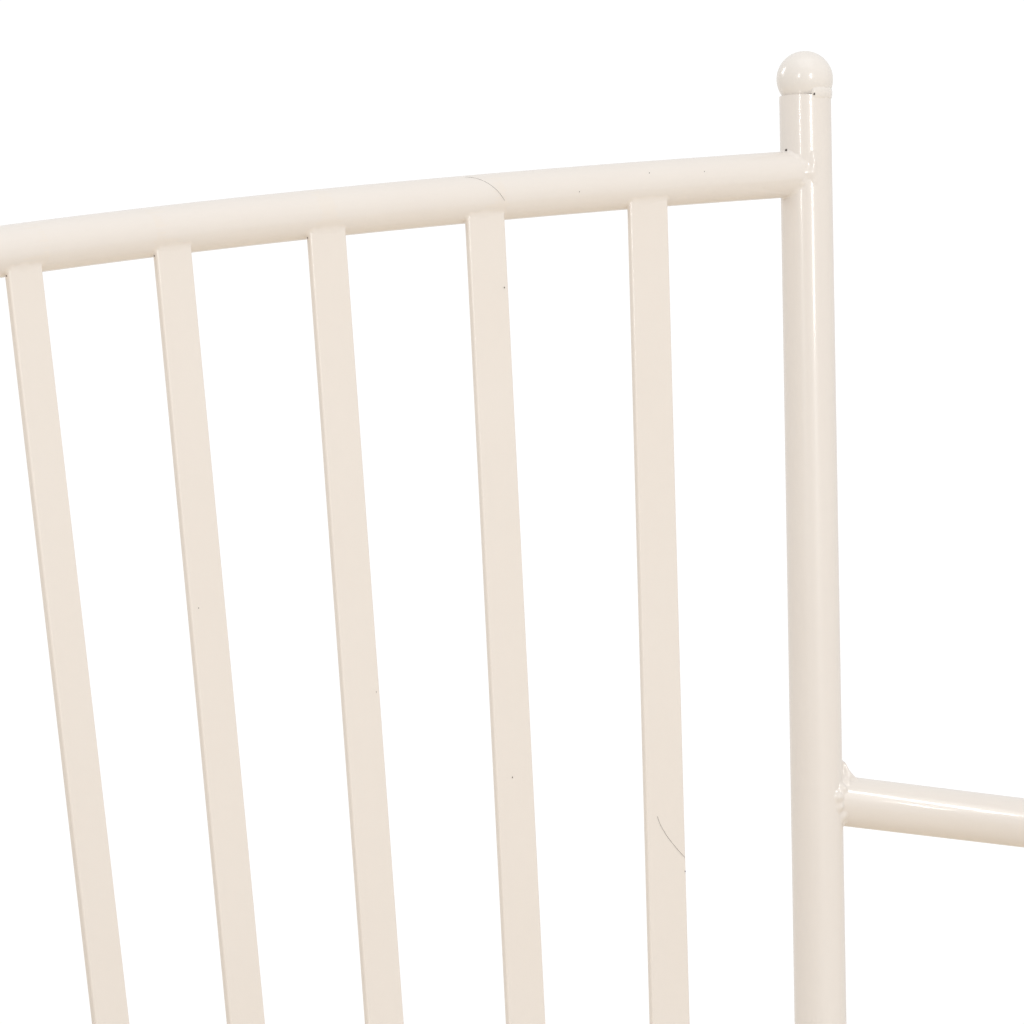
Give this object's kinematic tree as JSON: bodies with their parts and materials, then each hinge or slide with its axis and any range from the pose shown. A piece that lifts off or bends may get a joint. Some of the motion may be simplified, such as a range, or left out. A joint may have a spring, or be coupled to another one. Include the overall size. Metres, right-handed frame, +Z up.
{
  "type": "daybed",
  "caption": "Bow-backed metal daybed with a slatted fan back, ball finials, open sloping arms and a slatted seat on tubular legs.",
  "frame": {"origin": "on the floor under the middle of the daybed's bounding box", "axes": "+X along the daybed's length to the sitter's left, +Y towards the back, +Z up; the open front faces -Y"},
  "size_m": [1.9528, 0.8198, 0.968],
  "materials": {
    "frame_enamel": "gloss cream enamel over welded steel tube",
    "slat_enamel": "gloss cream enamel over flat steel bar",
    "finial_enamel": "gloss cream enamel over a steel ball",
    "zinc_fasteners": "bright zinc plate",
    "foot_plastic": "moulded polyethylene with a fine satin grain"
  },
  "bodies": {
    "root": {"back_top_rail": "frame_enamel", "back_lower_rail": "frame_enamel", "back_slat_01": "slat_enamel", "back_slat_02": "slat_enamel", "back_slat_03": "slat_enamel", "back_slat_04": "slat_enamel", "back_slat_05": "slat_enamel", "back_slat_06": "slat_enamel", "back_slat_07": "slat_enamel", "back_slat_08": "slat_enamel", "back_slat_09": "slat_enamel", "back_slat_10": "slat_enamel", "back_slat_11": "slat_enamel", "back_slat_12": "slat_enamel", "back_slat_13": "slat_enamel", "back_slat_14": "slat_enamel", "back_slat_15": "slat_enamel", "left_back_post": "frame_enamel", "right_back_post": "frame_enamel", "left_back_finial": "finial_enamel", "right_back_finial": "finial_enamel", "left_arm": "frame_enamel", "right_arm": "frame_enamel", "left_front_post": "frame_enamel", "right_front_post": "frame_enamel", "left_front_finial": "finial_enamel", "right_front_finial": "finial_enamel", "front_seat_rail": "frame_enamel", "rear_seat_rail": "frame_enamel", "left_side_rail": "frame_enamel", "right_side_rail": "frame_enamel", "mid_seat_rail": "frame_enamel", "seat_slat_01": "slat_enamel", "seat_slat_02": "slat_enamel", "seat_slat_03": "slat_enamel", "seat_slat_04": "slat_enamel", "seat_slat_05": "slat_enamel", "seat_slat_06": "slat_enamel", "seat_slat_07": "slat_enamel", "seat_slat_08": "slat_enamel", "seat_slat_09": "slat_enamel", "seat_slat_10": "slat_enamel", "seat_slat_11": "slat_enamel", "seat_slat_12": "slat_enamel", "seat_slat_13": "slat_enamel", "seat_slat_14": "slat_enamel", "seat_slat_15": "slat_enamel", "seat_slat_16": "slat_enamel", "front_centre_leg": "frame_enamel", "rear_centre_leg": "frame_enamel", "front_leg_plate": "frame_enamel", "rear_leg_plate": "frame_enamel", "front_leg_strap": "frame_enamel", "rear_leg_strap": "frame_enamel", "strap_bolts": "zinc_fasteners", "strap_nuts": "zinc_fasteners", "foot_caps": "foot_plastic"}
  },
  "joints": []
}
